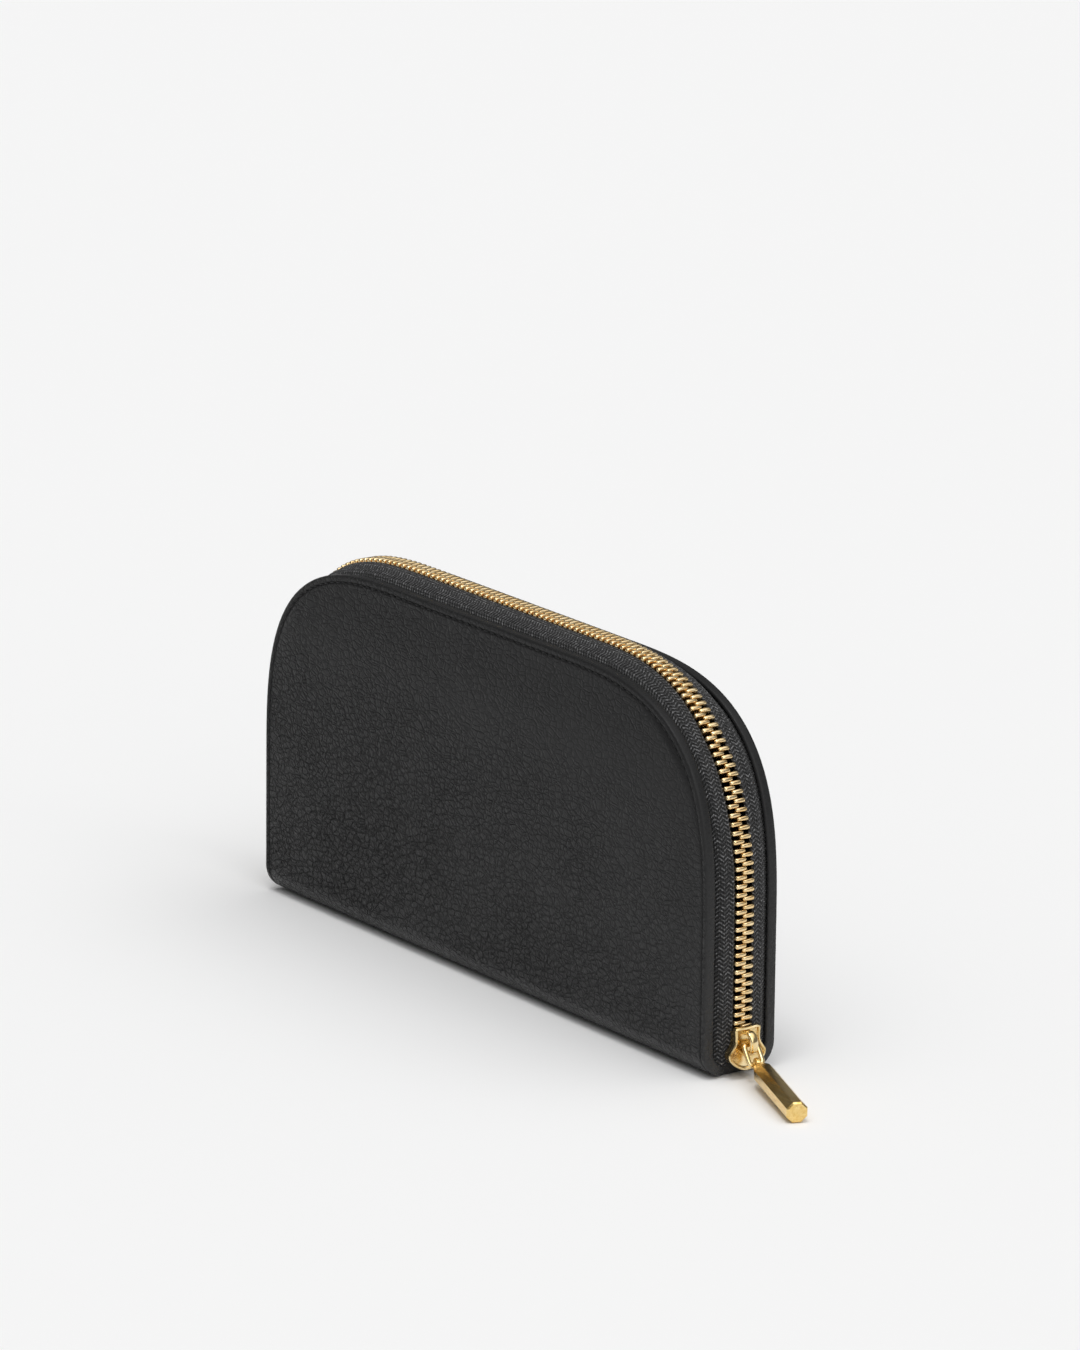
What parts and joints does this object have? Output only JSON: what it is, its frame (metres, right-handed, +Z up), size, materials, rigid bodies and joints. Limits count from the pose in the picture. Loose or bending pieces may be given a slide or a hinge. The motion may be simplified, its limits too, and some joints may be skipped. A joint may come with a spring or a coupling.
{
  "type": "zip around wallet",
  "caption": "Zip around wallet standing on its rounded spine, with leather covers, a metal zip round its other sides, a bar pull, card slots and a zipped coin pocket.",
  "frame": {"origin": "middle of the flat base that the wallet stands on", "axes": "+X along the length towards the end where the slider closes the zip, -Y out of the front cover, +Z up"},
  "size_m": [0.2293, 0.0239, 0.0964],
  "materials": {
    "shell_leather": "pebbled black leather, semi-matt",
    "slot_leather": "thin smooth black leather",
    "stiffener_board": "bonded fibre board",
    "lining_fabric": "woven black lining",
    "zip_tape": "ribbed black woven zip tape",
    "thread": "waxed black thread",
    "teeth_metal": "pale gold plated teeth",
    "slider_metal": "polished gold plated casting"
  },
  "bodies": {
    "spine": {"spine_leather": "shell_leather", "spine_lining": "lining_fabric", "coin_pocket_front": "slot_leather", "coin_pocket_back": "slot_leather", "coin_zip_tape_front": "zip_tape", "coin_zip_tape_back": "zip_tape", "coin_teeth_front": "teeth_metal", "coin_teeth_back": "teeth_metal", "gusset_left_front": "lining_fabric", "gusset_left_back": "lining_fabric", "gusset_right_front": "lining_fabric", "gusset_right_back": "lining_fabric"},
    "front_cover": {"front_leather": "shell_leather", "front_board": "stiffener_board", "front_lining": "lining_fabric", "front_pocket_panel": "slot_leather", "front_card_slot_1": "slot_leather", "front_card_slot_2": "slot_leather", "front_card_slot_3": "slot_leather", "front_card_slot_4": "slot_leather", "front_stitching": "thread", "front_zip_tape": "zip_tape", "front_teeth": "teeth_metal", "front_end_stop": "teeth_metal"},
    "back_cover": {"back_leather": "shell_leather", "back_board": "stiffener_board", "back_lining": "lining_fabric", "back_pocket_panel": "slot_leather", "back_card_slot_1": "slot_leather", "back_card_slot_2": "slot_leather", "back_card_slot_3": "slot_leather", "back_card_slot_4": "slot_leather", "back_stitching": "thread", "back_zip_tape": "zip_tape", "back_teeth": "teeth_metal", "back_end_stop": "teeth_metal"},
    "slider": {"slider_body": "slider_metal", "slider_bridge": "slider_metal"},
    "pull_ring": {"pull_ring": "slider_metal"},
    "pull_bar": {"pull_bar": "slider_metal"},
    "coin_slider": {"coin_slider": "slider_metal"},
    "coin_pull": {"coin_pull": "slider_metal"}
  },
  "joints": [
    {"name": "front_cover_hinge", "type": "hinge", "parent": "spine", "child": "front_cover", "pos_m": [0, -0.0036, 0.007], "axis": [1, 0, 0], "range_deg": [0, 32]},
    {"name": "back_cover_hinge", "type": "hinge", "parent": "spine", "child": "back_cover", "pos_m": [0, 0.0036, 0.007], "axis": [-1, 0, 0], "range_deg": [0, 32]},
    {"name": "slider_slide", "type": "slide", "parent": "back_cover", "child": "slider", "axis": [0, 0, 1], "range_m": [0, 0.037], "deforming": ["front_teeth", "back_teeth"]},
    {"name": "pull_ring_hinge", "type": "hinge", "parent": "slider", "child": "pull_ring", "pos_m": [0.09895, 0, 0.0087], "axis": [0, -1, 0], "range_deg": [-12, 60]},
    {"name": "pull_bar_hinge", "type": "hinge", "parent": "pull_ring", "child": "pull_bar", "pos_m": [0.1019, 0, 0.0042], "axis": [-0.3359, -0.9419, 0], "range_deg": [-75, 38]},
    {"name": "coin_slider_slide", "type": "slide", "parent": "spine", "child": "coin_slider", "axis": [1, 0, 0], "range_m": [0, 0.124]},
    {"name": "coin_pull_hinge", "type": "hinge", "parent": "coin_slider", "child": "coin_pull", "pos_m": [-0.06272, 0, 0.0794], "axis": [0, -1, 0], "range_deg": [0, 100]}
  ]
}
